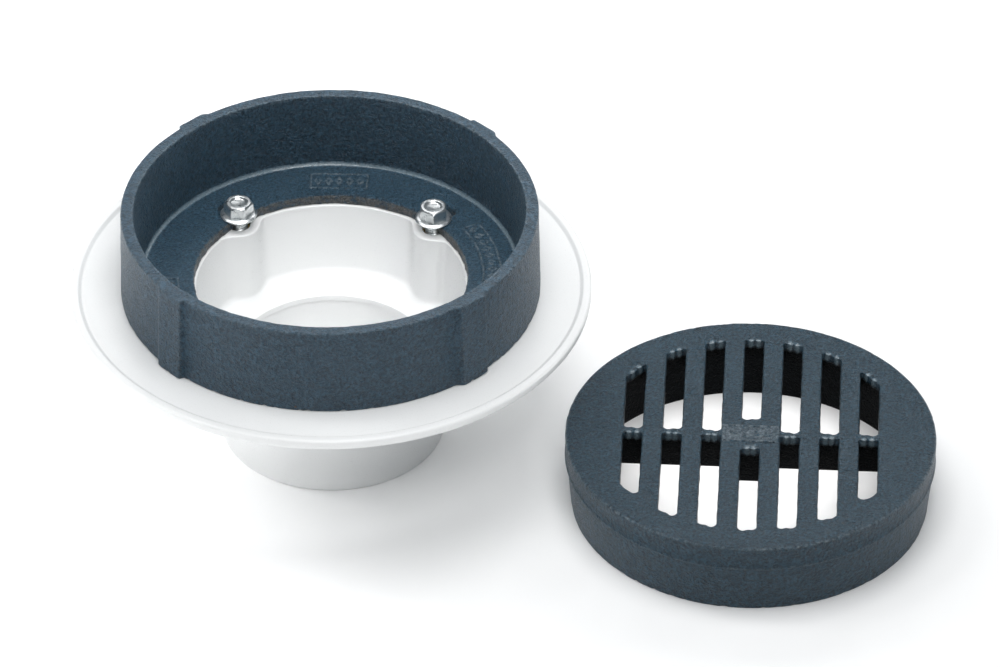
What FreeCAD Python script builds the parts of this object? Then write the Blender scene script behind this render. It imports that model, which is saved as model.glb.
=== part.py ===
import FreeCAD, Part
import Sketcher
import os

# Heavy-duty floor drain: a moulded PVC body, a cast-iron clamping ring held on it by four
# washer-head bolts in threaded inserts, and a loose slotted iron grate lying beside it.
# Millimetres, +Z up. The origin is on the drain's axis, at the mouth of the outlet socket,
# which is also the floor that the drain and its grate stand on.

DIMENSIONS = {
    # PVC body, radii about the drain's axis and heights above the floor
    "hub_radius": 61.5,
    "hub_height": 41.0,
    "socket_radius": 57.3,
    "socket_depth": 44.45,
    "throat_radius": 53.5,
    "throat_height": 3.15,
    "floor_radius": 70.0,
    "floor_rise": 6.0,
    "bowl_radius": 73.5,
    "bowl_wall": 5.0,
    "flange_radius": 142.5,
    "flange_thickness": 4.75,
    "deck_level": 95.25,
    "bead_height": 1.4,
    "bead_width": 4.6,
    "rim_bevel": 0.8,
    # bolt bosses, four of them, on one circle
    "bolt_count": 4,
    "bolt_circle_radius": 76.0,
    "boss_radius": 11.5,
    "boss_base": 48.5,
    "insert_radius": 6.35,
    "insert_length": 19.0,
    "insert_recess": 1.5,
    "insert_bore_radius": 4.85,
    "knurl_depth": 0.5,
    "knurl_width": 2.0,
    "pilot_radius": 5.3,
    "pilot_depth": 32.0,
    # clamping ring
    "ring_height": 50.8,
    "ring_base_radius": 114.5,
    "ring_top_radius": 113.4,
    "ring_mouth_radius": 106.5,
    "ring_seat_radius": 103.4,
    "shelf_thickness": 6.35,
    "shelf_hole_radius": 74.6,
    "shelf_fillet": 2.5,
    "notch_width": 11.0,
    "notch_end_radius": 91.0,
    "rib_width": 18.0,
    "rib_base_radius": 117.3,
    "rib_top_radius": 115.2,
    "rib_root_radius": 107.5,
    "cast_round": 1.2,
    "pad_height": 0.9,
    "pad_inner_radius": 82.5,
    "pad_outer_radius": 94.0,
    "back_pad_width": 33.0,
    "back_pad_depth": 15.0,
    "back_pad_radius": 87.0,
    # bolts, 3/8-16 with an indented hex washer head
    "bolt_shank_radius": 4.7625,
    "bolt_length": 31.75,
    "bolt_tip_chamfer": 1.2,
    "head_flats": 14.3,
    "head_height": 9.0,
    "washer_radius": 10.2,
    "washer_thickness": 1.8,
    "head_dish_radius": 4.6,
    "head_dish_depth": 1.2,
    # grate
    "grate_place_x": 228.4,
    "grate_place_y": -66.0,
    "grate_turn": -3.2,
    "grate_radius": 101.0,
    "grate_height": 43.2,
    "grate_foot_radius": 97.4,
    "parting_height": 29.4,
    "skirt_inner_top": 93.0,
    "skirt_inner_foot": 92.6,
    "grate_deck": 4.8,
    "bar_depth": 22.6,
    "bar_width": 8.0,
    "cross_bar_width": 4.0,
    "slot_width": 10.9,
    "slot_pitch": 21.35,
    "slot_circle_radius": 84.0,
    "slot_gap": 2.3,
    "centre_slot_gap": 13.2,
    "slot_corner": 2.0,
    "grate_edge_round": 1.4,
    "maker_pad_width": 31.0,
    "maker_pad_depth": 15.0,
    "pad_corner": 2.0,
}

# Where the first bolt and rib sit round the drain, in degrees; the others follow every 90.
FIRST_BOLT = 43.0
# For each bolt: its angle round the drain, and how far its hexagon is turned, in degrees.
BOLT_PLACES = {
    "back_right": (FIRST_BOLT, 30.0),
    "back_left": (FIRST_BOLT + 90.0, 0.0),
    "front_left": (FIRST_BOLT + 180.0, 17.0),
    "front_right": (FIRST_BOLT + 270.0, 41.0),
}

document = FreeCAD.newDocument("floor_drain")
sheet = document.addObject("Spreadsheet::Sheet", "dims")


def fill_sheet():
    """One row for each driving dimension: its name, its value and the alias."""
    for row, (alias, value) in enumerate(DIMENSIONS.items(), start=1):
        sheet.set("A%d" % row, alias)
        sheet.set("B%d" % row, str(value))
        sheet.setAlias("B%d" % row, alias)
    document.recompute()


def origin_plane(body, role):
    """One of the body's own origin planes, found by its role."""
    for feature in body.Origin.OriginFeatures:
        if feature.Role == role:
            return feature
    raise ValueError("no origin feature " + role)


def new_body(name):
    """An empty PartDesign body whose label names its file."""
    body = document.addObject("PartDesign::Body", name)
    body.Label = name
    return body


def new_sketch(body, name, role="XY_Plane", height=None, turn=0.0):
    """A sketch on one of the body's planes.

    height is an expression that lifts an XY sketch along Z; turn is in degrees about Z.
    """
    sketch = body.newObject("Sketcher::SketchObject", name)
    sketch.AttachmentSupport = [(origin_plane(body, role), "")]
    sketch.MapMode = "FlatFace"
    spin_axis = FreeCAD.Vector(0, 0, 1) if role == "XY_Plane" else FreeCAD.Vector(0, 1, 0)
    spin = FreeCAD.Rotation(spin_axis, turn)
    sketch.AttachmentOffset = FreeCAD.Placement(FreeCAD.Vector(), spin)
    if height:
        sketch.setExpression("AttachmentOffset.Base.z", height)
    document.recompute()
    return sketch


def pin_point(sketch, geometry, position, x_text, y_text):
    """Hold one vertex at a place given by two expressions."""
    for kind, text in (("DistanceX", x_text), ("DistanceY", y_text)):
        start = sketch.evalExpression(text)
        index = sketch.addConstraint(
            Sketcher.Constraint(kind, -1, 1, geometry, position, float(start))
        )
        sketch.setExpression("Constraints[%d]" % index, text)


def add_outline(sketch, corners):
    """A closed outline of straight edges through corners, each an (x, y) pair of expressions."""
    points = [
        FreeCAD.Vector(float(sketch.evalExpression(x)), float(sketch.evalExpression(y)), 0)
        for x, y in corners
    ]
    first = None
    last = None
    for here, there in zip(points, points[1:] + points[:1]):
        edge = sketch.addGeometry(Part.LineSegment(here, there), False)
        if last is None:
            first = edge
        else:
            sketch.addConstraint(Sketcher.Constraint("Coincident", last, 2, edge, 1))
        last = edge
    sketch.addConstraint(Sketcher.Constraint("Coincident", last, 2, first, 1))
    for step, (x, y) in enumerate(corners):
        pin_point(sketch, first + step, 1, x, y)


def add_circle(sketch, x, y, radius):
    """A circle whose centre and radius are expressions."""
    centre = FreeCAD.Vector(
        float(sketch.evalExpression(x)), float(sketch.evalExpression(y)), 0
    )
    start = float(sketch.evalExpression(radius))
    circle = sketch.addGeometry(Part.Circle(centre, FreeCAD.Vector(0, 0, 1), start), False)
    pin_point(sketch, circle, 3, x, y)
    index = sketch.addConstraint(Sketcher.Constraint("Radius", circle, start))
    sketch.setExpression("Constraints[%d]" % index, radius)


def revolve(body, name, corners):
    """A full turn about Z of an outline given in radius and height."""
    sketch = new_sketch(body, name + "_sketch", "XZ_Plane")
    add_outline(sketch, corners)
    feature = body.newObject("PartDesign::Revolution", name)
    feature.Profile = sketch
    feature.ReferenceAxis = (sketch, ["V_Axis"])
    feature.Angle = 360.0
    document.recompute()
    return feature


def pad(body, name, sketch, length, both_ways=False):
    """A pad whose length is an expression."""
    feature = body.newObject("PartDesign::Pad", name)
    feature.Profile = sketch
    feature.Midplane = both_ways
    feature.setExpression("Length", length)
    document.recompute()
    return feature


def pocket(body, name, sketch, depth, both_ways=False):
    """A pocket that has to remove something, or the build stops."""
    before = body.Shape.Volume
    feature = body.newObject("PartDesign::Pocket", name)
    feature.Profile = sketch
    feature.Midplane = both_ways
    feature.setExpression("Length", depth)
    document.recompute()
    if feature.Shape.Volume >= before:
        raise ValueError(name + " cuts nothing")
    return feature


def repeat_round(body, name, feature, count="dims.bolt_count"):
    """The feature repeated about Z."""
    pattern = body.newObject("PartDesign::PolarPattern", name)
    pattern.Originals = [feature]
    pattern.Axis = (feature.Profile[0], ["N_Axis"])
    pattern.Angle = 360.0
    pattern.setExpression("Occurrences", count)
    body.Tip = pattern
    document.recompute()
    return pattern


def round_edges(body, name, radius, wanted):
    """A fillet on the edges of the body's tip that wanted(edge) picks."""
    base = body.Tip
    names = [
        "Edge%d" % (i + 1) for i, edge in enumerate(base.Shape.Edges) if wanted(edge)
    ]
    if not names:
        raise ValueError(name + " finds no edges")
    feature = body.newObject("PartDesign::Fillet", name)
    feature.Base = (base, names)
    feature.setExpression("Radius", radius)
    body.Tip = feature
    document.recompute()
    return feature


def is_ring_edge(edge, radius, height, slack=0.05):
    """True for an edge that lies on the circle of that radius and height about Z."""
    middle = edge.valueAt((edge.FirstParameter + edge.LastParameter) / 2)
    ends = [vertex.Point for vertex in edge.Vertexes] + [middle]
    return all(
        abs(point.z - height) < slack and abs((point.x**2 + point.y**2) ** 0.5 - radius) < slack
        for point in ends
    )


def make_drain_body():
    """Deck flange, bowl with bosses, sloped floor, throat and outlet hub in one moulding."""
    body = new_body("drain_body")
    revolve(
        body,
        "moulding",
        [
            ("dims.socket_radius", "0"),
            ("dims.hub_radius", "0"),
            ("dims.hub_radius", "dims.hub_height"),
            ("dims.floor_radius + dims.bowl_wall", "dims.hub_height + dims.floor_rise"),
            ("dims.bowl_radius + dims.bowl_wall", "dims.deck_level - dims.flange_thickness"),
            (
                "dims.flange_radius - dims.rim_bevel",
                "dims.deck_level - dims.flange_thickness",
            ),
            (
                "dims.flange_radius",
                "dims.deck_level - dims.flange_thickness + dims.rim_bevel",
            ),
            ("dims.flange_radius", "dims.deck_level + dims.bead_height - dims.rim_bevel"),
            ("dims.flange_radius - dims.rim_bevel", "dims.deck_level + dims.bead_height"),
            (
                "dims.flange_radius - dims.bead_width + dims.rim_bevel",
                "dims.deck_level + dims.bead_height",
            ),
            ("dims.flange_radius - dims.bead_width", "dims.deck_level"),
            ("dims.bowl_radius", "dims.deck_level"),
            (
                "dims.floor_radius",
                "dims.socket_depth + dims.throat_height + dims.floor_rise",
            ),
            ("dims.throat_radius", "dims.socket_depth + dims.throat_height"),
            ("dims.throat_radius", "dims.socket_depth"),
            ("dims.socket_radius", "dims.socket_depth"),
        ],
    )
    boss_sketch = new_sketch(body, "boss_sketch", height="dims.boss_base", turn=FIRST_BOLT)
    add_circle(boss_sketch, "dims.bolt_circle_radius", "0", "dims.boss_radius")
    boss = pad(body, "boss", boss_sketch, "dims.deck_level - dims.boss_base")
    repeat_round(body, "bosses", boss)

    insert_sketch = new_sketch(body, "insert_hole_sketch", height="dims.deck_level", turn=FIRST_BOLT)
    add_circle(insert_sketch, "dims.bolt_circle_radius", "0", "dims.insert_radius")
    insert_hole = pocket(
        body, "insert_hole", insert_sketch, "dims.insert_length + dims.insert_recess"
    )
    repeat_round(body, "insert_holes", insert_hole)

    pilot_sketch = new_sketch(body, "pilot_hole_sketch", height="dims.deck_level", turn=FIRST_BOLT)
    add_circle(pilot_sketch, "dims.bolt_circle_radius", "0", "dims.pilot_radius")
    pilot_hole = pocket(body, "pilot_hole", pilot_sketch, "dims.pilot_depth")
    repeat_round(body, "pilot_holes", pilot_hole)
    return body


def make_clamp_ring():
    """Tapered wall, inner shelf with bolt notches, outer ribs and blank raised pads."""
    body = new_body("clamp_ring")
    top = "dims.deck_level + dims.ring_height"
    shelf_top = "dims.deck_level + dims.shelf_thickness"
    revolve(
        body,
        "casting",
        [
            ("dims.shelf_hole_radius", "dims.deck_level"),
            ("dims.ring_base_radius", "dims.deck_level"),
            ("dims.ring_top_radius", top),
            ("dims.ring_mouth_radius", top),
            ("dims.ring_seat_radius", shelf_top),
            ("dims.shelf_hole_radius", shelf_top),
        ],
    )
    rib_sketch = new_sketch(body, "rib_sketch", "XZ_Plane", turn=FIRST_BOLT)
    add_outline(
        rib_sketch,
        [
            ("dims.rib_root_radius", "dims.deck_level"),
            ("dims.rib_base_radius", "dims.deck_level"),
            ("dims.rib_top_radius", top),
            ("dims.rib_root_radius", top),
        ],
    )
    rib = pad(body, "rib", rib_sketch, "dims.rib_width", both_ways=True)
    ribs = body.newObject("PartDesign::PolarPattern", "ribs")
    ribs.Originals = [rib]
    ribs.Axis = (rib_sketch, ["V_Axis"])
    ribs.Angle = 360.0
    ribs.setExpression("Occurrences", "dims.bolt_count")
    body.Tip = ribs
    document.recompute()

    notch_sketch = new_sketch(body, "notch_sketch", height=shelf_top, turn=FIRST_BOLT)
    half = "dims.notch_width / 2"
    add_outline(
        notch_sketch,
        [
            ("dims.shelf_hole_radius - dims.notch_width", "-" + half),
            ("dims.notch_end_radius - " + half, "-" + half),
            ("dims.notch_end_radius - " + half, half),
            ("dims.shelf_hole_radius - dims.notch_width", half),
        ],
    )
    notch = pocket(body, "notch", notch_sketch, "dims.shelf_thickness")
    repeat_round(body, "notches", notch)
    end_sketch = new_sketch(body, "notch_end_sketch", height=shelf_top, turn=FIRST_BOLT)
    add_circle(end_sketch, "dims.notch_end_radius - " + half, "0", half)
    notch_end = pocket(body, "notch_end", end_sketch, "dims.shelf_thickness")
    repeat_round(body, "notch_ends", notch_end)

    back_sketch = new_sketch(body, "back_pad_sketch", height=shelf_top, turn=FIRST_BOLT - 45.0)
    near = "dims.back_pad_radius - dims.back_pad_depth / 2"
    far = "dims.back_pad_radius + dims.back_pad_depth / 2"
    side = "dims.back_pad_width / 2"
    add_outline(back_sketch, [("-" + side, near), (side, near), (side, far), ("-" + side, far)])
    pad(body, "back_pad", back_sketch, "dims.pad_height")
    for name, start, stop in (("right_pad", -4.5, 31.0), ("left_pad", 173.0, 203.0)):
        add_curved_pad(body, name, shelf_top, start, stop)

    top_level = sheet.deck_level + sheet.ring_height
    shelf_level = sheet.deck_level + sheet.shelf_thickness
    round_edges(
        body,
        "cast_rounding",
        "dims.cast_round",
        lambda edge: is_ring_edge(edge, sheet.ring_mouth_radius, top_level)
        or is_ring_edge(edge, sheet.shelf_hole_radius, shelf_level),
    )
    round_edges(
        body,
        "seat_fillet",
        "dims.shelf_fillet",
        lambda edge: is_ring_edge(edge, sheet.ring_seat_radius, shelf_level),
    )
    return body


def add_curved_pad(body, name, level, start, stop):
    """A raised pad that follows the shelf from one angle to another, in degrees."""
    sketch = new_sketch(body, name + "_sketch", height=level)
    centre = FreeCAD.Vector()
    normal = FreeCAD.Vector(0, 0, 1)
    first = FreeCAD.Units.Quantity("%f deg" % start).getValueAs("rad").Value
    last = FreeCAD.Units.Quantity("%f deg" % stop).getValueAs("rad").Value
    arcs = []
    for alias in ("pad_inner_radius", "pad_outer_radius"):
        circle = Part.Circle(centre, normal, sheet.get(alias))
        arc = sketch.addGeometry(Part.ArcOfCircle(circle, first, last), False)
        sketch.addConstraint(Sketcher.Constraint("Coincident", arc, 3, -1, 1))
        index = sketch.addConstraint(Sketcher.Constraint("Radius", arc, sheet.get(alias)))
        sketch.setExpression("Constraints[%d]" % index, "dims." + alias)
        arcs.append(arc)
    inner, outer = arcs
    for end in (1, 2):
        from_point = sketch.getPoint(inner, end)
        to_point = sketch.getPoint(outer, end)
        line = sketch.addGeometry(Part.LineSegment(from_point, to_point), False)
        sketch.addConstraint(Sketcher.Constraint("Coincident", line, 1, inner, end))
        sketch.addConstraint(Sketcher.Constraint("Coincident", line, 2, outer, end))
        sketch.addConstraint(Sketcher.Constraint("PointOnObject", -1, 1, line))
        angle = first if end == 1 else last
        sketch.addConstraint(Sketcher.Constraint("Angle", line, angle))
    return pad(body, name, sketch, "dims.pad_height")


def make_bolt(place):
    """Washer-head bolt in its own frame: the washer's underside is at z = 0."""
    body = new_body("bolt_" + place)
    revolve(
        body,
        "shank_and_washer",
        [
            ("0", "-dims.bolt_length"),
            ("dims.bolt_shank_radius - dims.bolt_tip_chamfer", "-dims.bolt_length"),
            ("dims.bolt_shank_radius", "dims.bolt_tip_chamfer - dims.bolt_length"),
            ("dims.bolt_shank_radius", "0"),
            ("dims.washer_radius", "0"),
            ("dims.washer_radius", "dims.washer_thickness / 2"),
            ("dims.head_flats / 2", "dims.washer_thickness"),
            ("0", "dims.washer_thickness"),
        ],
    )
    hex_sketch = new_sketch(body, "hex_sketch")
    corner = "dims.head_flats / sqrt(3)"
    add_outline(
        hex_sketch,
        [
            ("%s * cos(%d deg)" % (corner, 60 * step), "%s * sin(%d deg)" % (corner, 60 * step))
            for step in range(6)
        ],
    )
    pad(body, "hex_head", hex_sketch, "dims.head_height")
    dish_sketch = new_sketch(body, "dish_sketch", height="dims.head_height")
    add_circle(dish_sketch, "0", "0", "dims.head_dish_radius")
    pocket(body, "dish", dish_sketch, "dims.head_dish_depth")
    return body


def make_insert(place):
    """Threaded insert in its own frame: its upper face is at z = 0, its bore is plain."""
    body = new_body("insert_" + place)
    waist = "dims.insert_radius - dims.knurl_depth"
    middle = "dims.insert_length / 2"
    revolve(
        body,
        "sleeve",
        [
            ("dims.insert_bore_radius", "-dims.insert_length"),
            ("dims.insert_radius", "-dims.insert_length"),
            ("dims.insert_radius", "-(%s + dims.knurl_width / 2)" % middle),
            (waist, "-(%s + dims.knurl_width / 2)" % middle),
            (waist, "-(%s - dims.knurl_width / 2)" % middle),
            ("dims.insert_radius", "-(%s - dims.knurl_width / 2)" % middle),
            ("dims.insert_radius", "0"),
            ("dims.insert_bore_radius", "0"),
        ],
    )
    return body


def slot_corners(column, side):
    """The four corners of one slot; side is +1 behind the cross bar and -1 in front of it."""
    left = "(%d * dims.slot_pitch - dims.slot_width / 2)" % column
    right = "(%d * dims.slot_pitch + dims.slot_width / 2)" % column
    gap = "dims.centre_slot_gap" if column == 0 else "dims.slot_gap"
    reach = "sqrt(dims.slot_circle_radius ^ 2 - %s ^ 2)"
    corners = [(left, gap), (right, gap), (right, reach % right), (left, reach % left)]
    if side < 0:
        corners = [(x, "-1 * " + y) for x, y in corners]
    return corners


def is_slot_corner(edge):
    """True for the short upright edges of the slots, inside the skirt."""
    if len(edge.Vertexes) != 2:
        return False
    low, high = (vertex.Point for vertex in edge.Vertexes)
    upright = abs(low.x - high.x) < 0.01 and abs(low.y - high.y) < 0.01
    reach = (low.x**2 + low.y**2) ** 0.5
    return upright and reach < sheet.slot_circle_radius + 0.5


def make_grate():
    """Inverted cup with a slotted deck, deep bars and a blank maker's pad, in its own frame."""
    body = new_body("grate")
    deck_under = "dims.grate_height - dims.grate_deck"
    revolve(
        body,
        "cup",
        [
            ("0", deck_under),
            ("dims.skirt_inner_top", deck_under),
            ("dims.skirt_inner_foot", "0"),
            ("dims.grate_foot_radius", "0"),
            ("dims.grate_radius", "dims.parting_height"),
            ("dims.grate_radius", "dims.grate_height"),
            ("0", "dims.grate_height"),
        ],
    )
    slot_sketch = new_sketch(body, "slot_sketch", height="dims.grate_height")
    for column in range(-3, 4):
        for side in (1, -1):
            add_outline(slot_sketch, slot_corners(column, side))
    pocket(body, "slots", slot_sketch, "dims.grate_deck")
    round_edges(body, "slot_rounding", "dims.slot_corner", is_slot_corner)

    bar_base = "dims.grate_height - dims.bar_depth"
    bar_drop = "dims.bar_depth - dims.grate_deck"
    skirt = "dims.skirt_inner_foot + 0.6"
    bar_sketch = new_sketch(body, "bar_sketch", height=bar_base)
    half = "dims.bar_width / 2"
    for step in (-2.5, -1.5, -0.5, 0.5, 1.5, 2.5):
        left = "(%.1f * dims.slot_pitch - %s)" % (step, half)
        right = "(%.1f * dims.slot_pitch + %s)" % (step, half)
        reach = "sqrt((%s) ^ 2 - %s ^ 2)"
        add_outline(
            bar_sketch,
            [
                (left, "-1 * " + reach % (skirt, left)),
                (right, "-1 * " + reach % (skirt, right)),
                (right, reach % (skirt, right)),
                (left, reach % (skirt, left)),
            ],
        )
    pad(body, "bars", bar_sketch, bar_drop)
    cross_sketch = new_sketch(body, "cross_bar_sketch", height=bar_base)
    thin = "dims.cross_bar_width / 2"
    add_outline(
        cross_sketch,
        [
            ("-1 * (%s)" % skirt, "-" + thin),
            (skirt, "-" + thin),
            (skirt, thin),
            ("-1 * (%s)" % skirt, thin),
        ],
    )
    pad(body, "cross_bar", cross_sketch, bar_drop)

    pad_sketch = new_sketch(body, "maker_pad_sketch", height="dims.grate_height")
    wide = "dims.maker_pad_width / 2"
    deep = "dims.maker_pad_depth / 2"
    add_outline(
        pad_sketch,
        [("-" + wide, "-" + deep), (wide, "-" + deep), (wide, deep), ("-" + wide, deep)],
    )
    pad(body, "maker_pad", pad_sketch, "dims.pad_height / 2")
    round_edges(
        body,
        "rim_rounding",
        "dims.grate_edge_round",
        lambda edge: is_ring_edge(edge, sheet.grate_radius, sheet.grate_height),
    )
    return body


def place_on_circle(body, angle, turn, height):
    """Put a bolt or an insert on the bolt circle at an angle, itself turned about Z."""
    body.Placement.Rotation = FreeCAD.Rotation(FreeCAD.Vector(0, 0, 1), turn)
    body.setExpression("Placement.Base.x", "dims.bolt_circle_radius * cos(%g deg)" % angle)
    body.setExpression("Placement.Base.y", "dims.bolt_circle_radius * sin(%g deg)" % angle)
    body.setExpression("Placement.Base.z", height)


def place_grate(body):
    """Lay the grate on the floor beside the drain."""
    turn = FreeCAD.Rotation(FreeCAD.Vector(0, 0, 1), sheet.grate_turn)
    body.Placement.Rotation = turn
    body.setExpression("Placement.Base.x", "dims.grate_place_x")
    body.setExpression("Placement.Base.y", "dims.grate_place_y")


def check_document(pieces):
    """Stop if anything in the document failed, before any file is written."""
    for item in document.Objects:
        if "Invalid" in item.State or "Error" in item.State:
            raise ValueError(item.Name + " is " + ", ".join(item.State))
    for piece in pieces:
        shape = piece.Shape
        if shape.isNull() or not shape.isValid() or len(shape.Solids) != 1:
            raise ValueError(piece.Label + " is not one valid solid")


def build():
    fill_sheet()
    pieces = [make_drain_body(), make_clamp_ring(), make_grate()]
    place_grate(pieces[-1])
    for place, (angle, turn) in BOLT_PLACES.items():
        bolt = make_bolt(place)
        place_on_circle(bolt, angle, turn, "dims.deck_level + dims.shelf_thickness")
        insert = make_insert(place)
        place_on_circle(insert, angle, turn, "dims.deck_level - dims.insert_recess")
        pieces += [bolt, insert]
    document.recompute()
    check_document(pieces)
    os.makedirs("parts", exist_ok=True)
    for piece in pieces:
        piece.Shape.exportStep(os.path.join("parts", piece.Label + ".step"))
        print(piece.Label, "%.0f mm3" % piece.Shape.Volume)


build()
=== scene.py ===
"""Looks for the floor drain: a white PVC body, a coated cast-iron clamping ring held by four
washer-head bolts, and a loose slotted iron grate lying beside it on a pale floor.

Lengths are millimetres until a mesh is made; lamps, camera and material distances are metres.
Arrays called angles or away, and names that end in _rad, are radians. Other angles are degrees.
"""

import itertools
import math
import random

import bmesh
import bpy
import numpy as np
from mathutils import Matrix, Vector, geometry, kdtree


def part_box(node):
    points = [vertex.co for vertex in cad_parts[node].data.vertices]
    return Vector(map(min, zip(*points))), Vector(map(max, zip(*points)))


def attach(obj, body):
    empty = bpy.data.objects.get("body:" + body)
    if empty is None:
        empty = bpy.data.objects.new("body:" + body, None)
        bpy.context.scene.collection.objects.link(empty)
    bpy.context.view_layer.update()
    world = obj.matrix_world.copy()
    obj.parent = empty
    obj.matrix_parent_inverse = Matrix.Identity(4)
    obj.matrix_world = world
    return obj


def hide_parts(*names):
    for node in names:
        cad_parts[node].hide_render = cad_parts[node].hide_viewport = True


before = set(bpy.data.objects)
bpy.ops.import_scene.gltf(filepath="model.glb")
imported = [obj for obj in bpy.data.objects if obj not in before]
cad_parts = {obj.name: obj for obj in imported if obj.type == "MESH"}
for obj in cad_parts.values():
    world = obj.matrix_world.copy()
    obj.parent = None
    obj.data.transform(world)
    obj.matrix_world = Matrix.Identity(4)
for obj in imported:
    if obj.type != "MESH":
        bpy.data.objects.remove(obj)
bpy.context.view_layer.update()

MM = 0.001
TURN = 2 * math.pi

# Each bolt's place round the drain, and how far its hexagon is turned.
BOLT_ANGLES = {"back_right": 43, "back_left": 133, "front_left": 223, "front_right": 313}
BOLT_TURNS = {"back_right": 30, "back_left": 0, "front_left": 17, "front_right": 41}
BOLT_CIRCLE = 76.0

# Levels and radii shared by several pieces, read from the frame where it holds them.
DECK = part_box("clamp_ring")[0].z / MM
RING_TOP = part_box("clamp_ring")[1].z / MM
RING_BASE_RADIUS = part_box("clamp_ring")[1].x / MM
SHELF_TOP = DECK + 6.35
FLANGE_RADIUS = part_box("drain_body")[1].x / MM - 0.06
RIM_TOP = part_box("drain_body")[1].z / MM


# ---- outlines and meshes


def rounded(corners, steps=5, longest=None, closed=False):
    """Points along an outline of (x, y, radius) corners, each corner drawn as an arc."""
    count = len(corners)
    points = []
    for i, (x, y, radius) in enumerate(corners):
        here = np.array([x, y], float)
        if radius <= 0 or (not closed and i in (0, count - 1)):
            points.append(here)
            continue
        before = np.array(corners[i - 1][:2], float) - here
        after = np.array(corners[(i + 1) % count][:2], float) - here
        before /= np.linalg.norm(before)
        after /= np.linalg.norm(after)
        half = math.acos(np.clip(before @ after, -1, 1)) / 2
        bisector = before + after
        bisector /= np.linalg.norm(bisector)
        centre = here + bisector * radius / math.sin(half)
        start = here + before * radius / math.tan(half) - centre
        end = here + after * radius / math.tan(half) - centre
        sweep = math.pi - 2 * half
        side = np.sign(start[0] * end[1] - start[1] * end[0])
        for step in range(steps + 1):
            turn = side * sweep * step / steps
            cos, sin = math.cos(turn), math.sin(turn)
            points.append(centre + np.array([[cos, -sin], [sin, cos]]) @ start)
    if longest:
        points = subdivided(points, longest, closed)
    return np.array(points)


def subdivided(points, longest, closed):
    """The same outline with no run longer than a given length."""
    result = []
    last = len(points) if closed else len(points) - 1
    for i in range(last):
        here = points[i]
        there = points[(i + 1) % len(points)]
        parts = max(1, math.ceil(np.linalg.norm(there - here) / longest))
        result += [here + (there - here) * part / parts for part in range(parts)]
    if not closed:
        result.append(points[-1])
    return result


def spread_angles(base, bands, extra=()):
    """Angles in radians round a full turn, closer together inside each band.

    A band is (centre, half width, step); extra angles are added as they are. All are degrees.
    """
    angles = []
    angle = 0.0
    while angle < 360 - 1e-6:
        angles.append(angle)
        step = base
        for centre, half, fine in bands:
            if abs((angle - centre + 180) % 360 - 180) <= half:
                step = min(step, fine)
        angle += step
    angles = np.array(sorted(set(np.round(angles + [a % 360 for a in extra], 5))))
    keep = np.concatenate([[True], np.diff(angles) > 0.012])
    return np.radians(angles[keep])


def angle_from(angles, centre):
    """Signed difference in radians between each angle and a centre given in degrees."""
    return (angles - math.radians(centre) + math.pi) % TURN - math.pi


def smooth_min(a, b, blend):
    """The smaller of a and b, with the corner between them filleted."""
    overlap = np.maximum(blend - np.abs(a - b), 0.0) / blend
    return np.minimum(a, b) - overlap * overlap * blend / 4


def ramp(value, low, high):
    """0 below low, 1 above high, smooth between."""
    t = np.clip((value - low) / (high - low), 0, 1)
    return t * t * (3 - 2 * t)


def solve(distance, low, high):
    """Where distance changes sign between low and high; it is positive at low."""
    for _ in range(34):
        middle = (low + high) / 2
        inside = distance(middle) > 0
        low = np.where(inside, middle, low)
        high = np.where(inside, high, middle)
    return (low + high) / 2


def rough(x, y, z, size, seed):
    """Smooth noise from -1 to 1 at each point, with lumps of a given size."""
    lattice = np.random.default_rng(seed).uniform(-1, 1, (64, 64, 64))
    x, y, z = np.broadcast_arrays(x, y, z)
    place = np.stack([0.8 * x - 0.6 * y, 0.6 * x + 0.8 * y, z + 0.31 * x], -1) / size
    cell = np.floor(place).astype(int)
    part = place - cell
    part = part**3 * (part * (6 * part - 15) + 10)
    total = 0.0
    for corner in itertools.product((0, 1), repeat=3):
        weight = np.prod(np.where(corner, part, 1 - part), -1)
        i, j, k = np.moveaxis((cell + corner) % 64, -1, 0)
        total = total + weight * lattice[i, j, k]
    return total


def mesh_object(name, vertices, faces, place=None):
    """A new object from vertices in millimetres; place is a matrix in metres."""
    mesh = bpy.data.meshes.new(name)
    mesh.from_pydata((np.asarray(vertices) * MM).tolist(), [], faces)
    if place is not None:
        mesh.transform(place)
    work = bmesh.new()
    work.from_mesh(mesh)
    bmesh.ops.remove_doubles(work, verts=work.verts, dist=1e-7)
    bmesh.ops.dissolve_degenerate(work, edges=work.edges, dist=1e-8)
    bmesh.ops.recalc_face_normals(work, faces=work.faces)
    work.to_mesh(mesh)
    work.free()
    piece = bpy.data.objects.new(name, mesh)
    bpy.context.scene.collection.objects.link(piece)
    return piece


def grid_quads(rows, columns, row_steps, column_steps):
    """Quads over points numbered row by row; a step past the last one returns to the first."""
    k, j = np.meshgrid(np.arange(row_steps), np.arange(column_steps), indexing="ij")
    here = k * columns
    above = (k + 1) % rows * columns
    j_next = (j + 1) % columns
    corners = (here + j, here + j_next, above + j_next, above + j)
    return np.stack(corners, -1).reshape(-1, 4).tolist()


def swept(section, angles):
    """The radius and the height of each point of a section, repeated for every angle."""
    return [np.repeat(section[:, [axis]], len(angles), 1) for axis in (0, 1)]


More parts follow.
